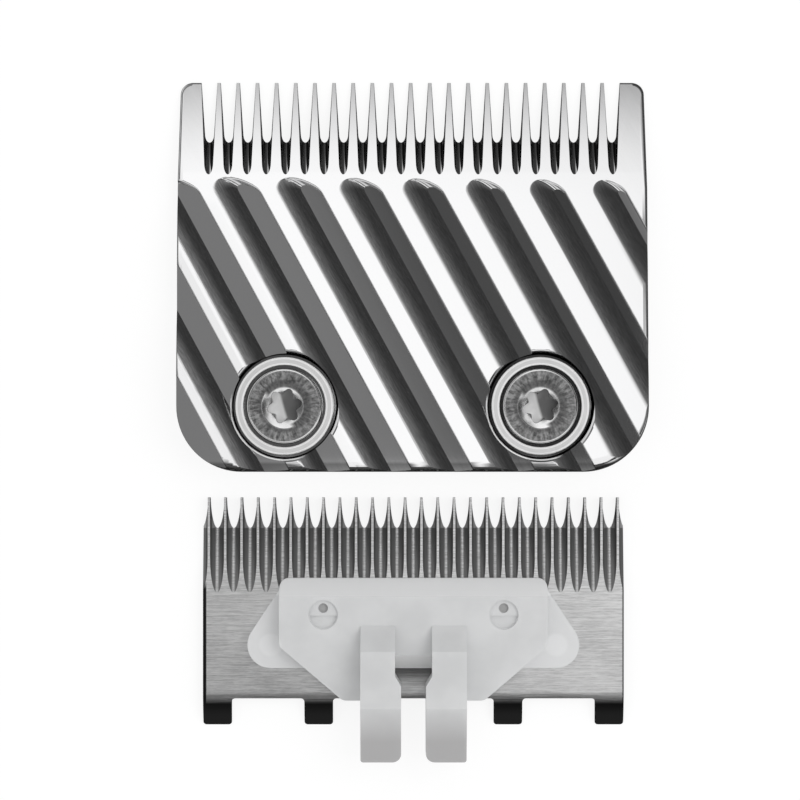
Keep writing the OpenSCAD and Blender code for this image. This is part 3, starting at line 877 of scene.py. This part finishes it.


# milky nylon, with painted light on the front slope, the flange, between the arms and over the pegs, and painted shade
# down the arm ends and in the pin holes
def milkyPlastic():
    finish = Finish("milkyPlastic", Subsurface_Weight=0.25, Subsurface_Radius=(1.0, 1.0, 1.0), Subsurface_Scale=0.0012)
    place = finish.coordinates()
    spot, lean = finish.split(place), finish.split(finish.coordinates("Normal"))
    cloud = finish.grain(place, (260, 260, 260), 3.0, 0.5)
    pores = finish.grain(place, (5200, 5200, 5200), 2.0, 0.5)
    aside = finish.math("ABSOLUTE", finish.minus(spot["X"], cutMiddle * mm))
    back = finish.minus(cutHigh.y * mm, spot["Y"])
    colour = finish.blend(finish.ramp(cloud, 0.3, 0.7), (0.68, 0.686, 0.69, 1), (0.74, 0.746, 0.75, 1))
    # painted light: the front slope, the flange and a disc over each peg are coloured paler
    x, y = finish.minus(aside, lobe["x"] * mm), finish.minus(back, lobe["back"] * mm)
    peg = finish.ramp(finish.math("SQRT", finish.plus(finish.times(x, x), finish.times(y, y))), 1.3 * mm, 0.9 * mm)
    peg = finish.times(peg, 0.3)
    flange = finish.times(finish.ramp(spot["Z"], 2.2 * mm, 2.05 * mm), 0.35)
    slope = finish.ramp(back, 9.65 * mm, 9.5 * mm)
    colour = finish.blend(finish.most(slope, finish.plus(peg, flange)), colour, (0.9, 0.905, 0.91, 1))
    falling = finish.ramp(lean["Y"], -0.12, -0.3)
    # painted light: the ledge between the arms is coloured paler where the arms shade it
    paintedLedgeLight = finish.times(falling, finish.ramp(aside, 2.0 * mm, 1.8 * mm), finish.ramp(back, 17.2 * mm, 17 * mm))
    colour = finish.blend(paintedLedgeLight, colour, grey(0.98))
    # painted shade: the falling arm ends are coloured darker towards the back
    end = finish.times(falling, finish.ramp(back, 20.0 * mm, 23.5 * mm, smooth=False))
    colour = finish.blend(end, colour, (0.49, 0.486, 0.488, 1))
    # painted shade: the pin hole is coloured darker
    x, y = finish.minus(aside, yoke["recess"][0] * mm), finish.minus(back, (yoke["recess"][1] - 0.65) * mm)
    hole = finish.ramp(finish.math("SQRT", finish.plus(finish.times(x, x), finish.times(y, y))), 0.5 * mm, 0.42 * mm)
    colour = finish.blend(hole, colour, grey(0.45))
    return finish.give(Base_Color=colour, Roughness=finish.plus(0.3, finish.times(cloud, 0.14)),
                       Normal=finish.bump(pores, 0.004, 0.35))


def dress(piece, material):
    piece.data.materials.clear()
    piece.data.materials.append(material)


# whether a point lies on the comb's outer wall
def onOuterWall(corner):
    radius = comb["heelRadius"]
    aside, back = abs(corner.x) - (combHigh.x - radius), combLow.y + radius - corner.y
    if aside > 0 and back > 0:
        return math.hypot(aside, back) > radius - 0.02
    return aside > radius - 0.27 or back > radius - 0.02


combBlade = makeCombBlade()
dress(combBlade, platedSteel())
combBlade.data.materials.append(turnedRim())
combBlade.data.materials.append(groundFace())
for face in combBlade.data.polygons:
    corners = [combBlade.data.vertices[index].co / mm for index in face.vertices]
    reaches = [math.hypot(abs(corner.x) - comb["screwSpan"] / 2, corner.y) for corner in corners]
    lowest = min(corner.z for corner in corners)
    if max(reaches) < comb["rimRadius"] + 0.01 and lowest > comb["rimHeight"] - comb["rimEdge"] - 0.02:
        face.material_index = 1
    elif face.normal.z < -0.5 or (face.normal.z < 0.1 and all(onOuterWall(corner) for corner in corners)):
        face.material_index = 2

handOver(combBlade, "fixed_blade")

screwFinish = screwSteel()
for node, side in (("screw_left", -0.5), ("screw_right", 0.5)):
    made = makeScrew("screwLeft" if side < 0 else "screwRight", side * comb["screwSpan"])
    dress(made, screwFinish)
    handOver(made, node)

cutterPlate = makeCutter()
dress(cutterPlate, brushedSteel())
handOver(cutterPlate, "cutter_blade")

driveYoke = makeYoke()
dress(driveYoke, milkyPlastic())
handOver(driveYoke, "drive_yoke")


# the photograph's frame: its middle in millimetres, and how much it takes in
photo = {"middle": (-1.21, 0.59), "across": 78.8, "distance": 360, "sensor": 36}


def setCamera():
    letGo()
    bpy.ops.object.camera_add(location=Vector((*photo["middle"], photo["distance"])) * mm, rotation=(0, 0, 0))
    camera = bpy.context.object
    camera.name = "photoCamera"
    camera.data.sensor_width = photo["sensor"]
    camera.data.lens = photo["sensor"] * photo["distance"] / photo["across"]
    camera.data.clip_start = 0.01
    bpy.context.scene.camera = camera


# the studio round the blade, laid out by how far a direction leans from straight up
studio = {
    "softLeft": (-0.24, -0.12), "softRight": (0.06, 0.2), "softNear": (0.04, 0.17), "softFar": (0.478, 0.626),
    "softLevel": 0.87, "wallTop": (0.8, 0.6), "wallDark": (0.35, 0.6), "wallLevel": 0.5, "dim": 0.02, "around": 0.7, "floor": 0.18, "floorGlow": 0.45,
    "lampPlace": (200, 30, 330), "lampSize": 250, "lampPower": 0.36,
    "cardHeight": 100, "cardSpan": 1600,
    "leftLow": ((-2, -12), 0.05), "leftHigh": ((-26, -48), 0.125),
    "rightHigh": ((95, 15), 0.15), "rightLow": ((125, 75), 0.03), "rightFar": ((20, 60), 0.02),
    "rightFrom": (4, 14), "rightSide": (-8, 5),
    "cutterNear": (-50, -38), "cutterFar": (-10, -6), "cutterWide": (85, 45), "cutterLevel": 0.6,
    "cutterTurn": 0.45, "cutterDusk": ((-40, -28), (0.0, 1.45)),
    "panelHeight": 99, "panelSpot": (10.7, 5.5), "panelSize": (7.2, 15), "panelLevel": 0.95,
}


def makeFloor():
    letGo()
    bpy.ops.mesh.primitive_plane_add(size=2.4, location=(0, 0, 0))
    floor = bpy.context.object
    floor.name = "studioFloor"
    finish = Finish("studioFloor", Roughness=0.9, Specular_IOR_Level=0.0, Emission_Color=grey(1))
    path = finish.nodes.new("ShaderNodeLightPath").outputs
    seen = finish.times(path["Is Camera Ray"], 1 - 0.82 * studio["floor"])
    glow = finish.plus(seen, finish.times(path["Is Diffuse Ray"], studio["floorGlow"]))
    dress(floor, finish.give(Base_Color=grey(studio["floor"]), Emission_Strength=glow))


# a soft lamp from the right, which mirrors don't show
def hangLamp():
    letGo()
    place = Vector(studio["lampPlace"]) * mm
    bpy.ops.object.light_add(type="AREA", location=place, rotation=place.to_track_quat("Z", "Y").to_euler())
    lamp = bpy.context.object
    lamp.name = "studioLamp"
    lamp.data.size = studio["lampSize"] * mm
    lamp.data.energy = studio["lampPower"]
    lamp.visible_glossy = False


def onlyReflected(card):
    card.visible_camera = card.visible_diffuse = card.visible_shadow = card.visible_transmission = False


# grey cards over the blade that only its reflections see, graded across the flutes
def hangCards():
    letGo()
    bpy.ops.mesh.primitive_plane_add(size=studio["cardSpan"] * mm, location=(0, 0, studio["cardHeight"] * mm))
    cards = bpy.context.object
    cards.name = "studioCards"
    material = bpy.data.materials.new("studioCards")
    material.use_nodes = True
    bench = NodeBench(material.node_tree)
    bench.nodes.remove(bench.nodes["Principled BSDF"])
    lean = math.radians(comb["fluteLean"])
    place = bench.coordinates()
    x, y = bench.split(place)["X"], bench.split(place)["Y"]
    across = bench.split(bench.add("ShaderNodeMapping", Vector=place, Rotation=(0, 0, -lean)).outputs[0])["X"]

    def grade(value, ends, low=0.0, high=1.0):
        return bench.ramp(value, ends[0] * mm, ends[1] * mm, low, high)

    def acrossFlutes(ends, level=1.0):
        return grade(across, [end * math.cos(lean) for end in ends], 0, level)

    left = bench.plus(acrossFlutes(*studio["leftLow"]), acrossFlutes(*studio["leftHigh"]))
    right = bench.plus(acrossFlutes(*studio["rightHigh"]), acrossFlutes(*studio["rightLow"]),
                       acrossFlutes(*studio["rightFar"]))
    right = bench.times(right, grade(y, studio["rightFrom"]), acrossFlutes(studio["rightSide"]))
    dusk, shares = studio["cutterDusk"]
    over = bench.times(grade(bench.math("ABSOLUTE", x), studio["cutterWide"], 0, studio["cutterLevel"]),
                       grade(y, studio["cutterNear"]), grade(y, studio["cutterFar"], 1, 0),
                       grade(bench.plus(y, bench.times(x, studio["cutterTurn"])), dusk, *shares))
    glow = bench.add("ShaderNodeEmission", Strength=bench.plus(left, right, over))
    both = bench.nodes.new("ShaderNodeAddShader")
    bench.put(both.inputs[0], glow.outputs[0])
    bench.put(both.inputs[1], bench.nodes.new("ShaderNodeBsdfTransparent").outputs[0])
    bench.put(bench.nodes["Material Output"].inputs["Surface"], both.outputs[0])
    dress(cards, material)
    onlyReflected(cards)


# a small lit panel for the dish and the edge of each screw
def hangPanels():
    glow = Finish("studioPanel", Base_Color=grey(0), Specular_IOR_Level=0.0, Emission_Color=grey(1),
                  Emission_Strength=studio["panelLevel"])
    for side in (-0.5, 0.5):
        spread = 1 + studio["panelHeight"] / photo["distance"]
        spot = Vector((side * comb["screwSpan"] * spread + studio["panelSpot"][0], studio["panelSpot"][1],
                       studio["panelHeight"]))
        letGo()
        bpy.ops.mesh.primitive_plane_add(size=mm, location=spot * mm)
        panel = bpy.context.object
        panel.name = "studioPanelLeft" if side < 0 else "studioPanelRight"
        for vertex in panel.data.vertices:
            vertex.co.x *= studio["panelSize"][0]
            vertex.co.y *= studio["panelSize"][1]
        dress(panel, glow.material)
        onlyReflected(panel)


# mirrors see one softbox above and pale walls that leave out the far right, the rest a plain pale room
def setWorld():
    world = bpy.data.worlds.new("studioWorld")
    bpy.context.scene.world = world
    world.use_nodes = True
    bench = NodeBench(world.node_tree)
    way = bench.split(bench.coordinates("Generated"))
    upward = bench.most(way["Z"], 0.05)
    side, front = bench.math("DIVIDE", way["X"], upward), bench.math("DIVIDE", way["Y"], upward)
    softbox = bench.times(bench.ramp(side, *studio["softLeft"]), bench.ramp(side, *studio["softRight"], 1, 0),
                          bench.ramp(front, *studio["softNear"]), bench.ramp(front, *studio["softFar"], 1, 0))
    dark = bench.plus(bench.times(way["X"], 0.51), bench.times(way["Y"], 0.86))
    walls = bench.times(bench.ramp(way["Z"], *studio["wallTop"]), bench.ramp(dark, *studio["wallDark"], 1, 0))
    mirrored = bench.plus(bench.times(softbox, studio["softLevel"]), bench.times(walls, studio["wallLevel"]),
                          studio["dim"])
    seen = bench.nodes.new("ShaderNodeLightPath").outputs["Is Glossy Ray"]
    level = bench.plus(bench.times(mirrored, seen), bench.times(bench.minus(1, seen), studio["around"]))
    bench.put(bench.nodes["Background"].inputs["Strength"], level)
    bench.nodes["Background"].inputs["Color"].default_value = grey(1)


setCamera()
makeFloor()
hangLamp()
hangCards()
hangPanels()
setWorld()
bpy.context.scene.view_settings.view_transform = "Standard"
print("studio set")
